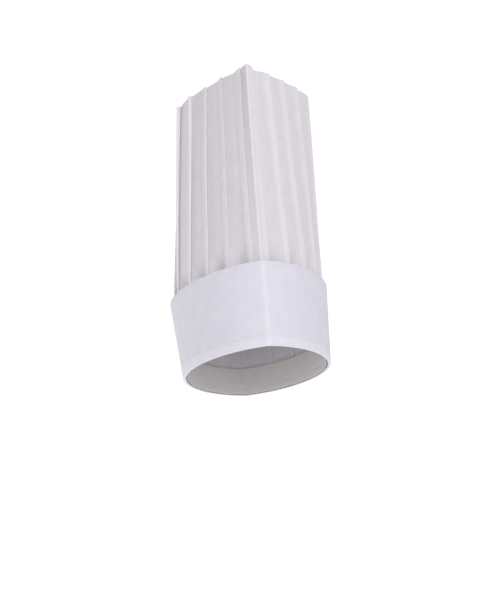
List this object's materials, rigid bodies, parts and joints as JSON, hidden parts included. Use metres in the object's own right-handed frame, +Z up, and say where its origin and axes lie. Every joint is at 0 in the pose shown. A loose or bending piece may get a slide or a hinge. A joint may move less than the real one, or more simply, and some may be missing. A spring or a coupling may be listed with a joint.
{
  "type": "chef toque",
  "caption": "Tall knife-pleated chef's hat in white nonwoven cloth, with a smooth stiffened band, a closing disc set inside the crown and a peel-open size tab at the back.",
  "frame": {"origin": "middle of the head opening, level with the band's lower edge", "axes": "+Z up through the crown, -Y towards the front crease, +X towards the wearer's left"},
  "size_m": [0.1946, 0.24, 0.35],
  "materials": {
    "crown_nonwoven": "matte spunbond nonwoven, pleated and pressed",
    "band_nonwoven": "matte smooth nonwoven",
    "paperboard": "uncoated board",
    "sweatband_fleece": "soft absorbent needled fleece",
    "sewing_thread": "spun polyester thread",
    "loop_tape": "brushed loop pile",
    "hook_tape": "moulded hooks on a woven base"
  },
  "bodies": {
    "hat": {"crown_wall": "crown_nonwoven", "crown_top": "crown_nonwoven", "crown_seam_thread": "sewing_thread", "band_cover": "band_nonwoven", "band_stiffener": "paperboard", "sweatband": "sweatband_fleece", "hem_thread": "sewing_thread", "band_lap_thread": "sewing_thread", "closure_root": "band_nonwoven", "closure_root_thread": "sewing_thread", "loop_strip": "loop_tape", "loop_strip_thread": "sewing_thread"},
    "closure_tab": {"closure_tab": "band_nonwoven", "hook_strip": "hook_tape", "hook_strip_thread": "sewing_thread"}
  },
  "joints": [
    {"name": "closure_tab_peel", "type": "hinge", "parent": "hat", "child": "closure_tab", "pos_m": [-0.01899, 0.10476, 0.046], "axis": [-0.0027, -0.1898, -0.9818], "range_deg": [0, 120]}
  ]
}
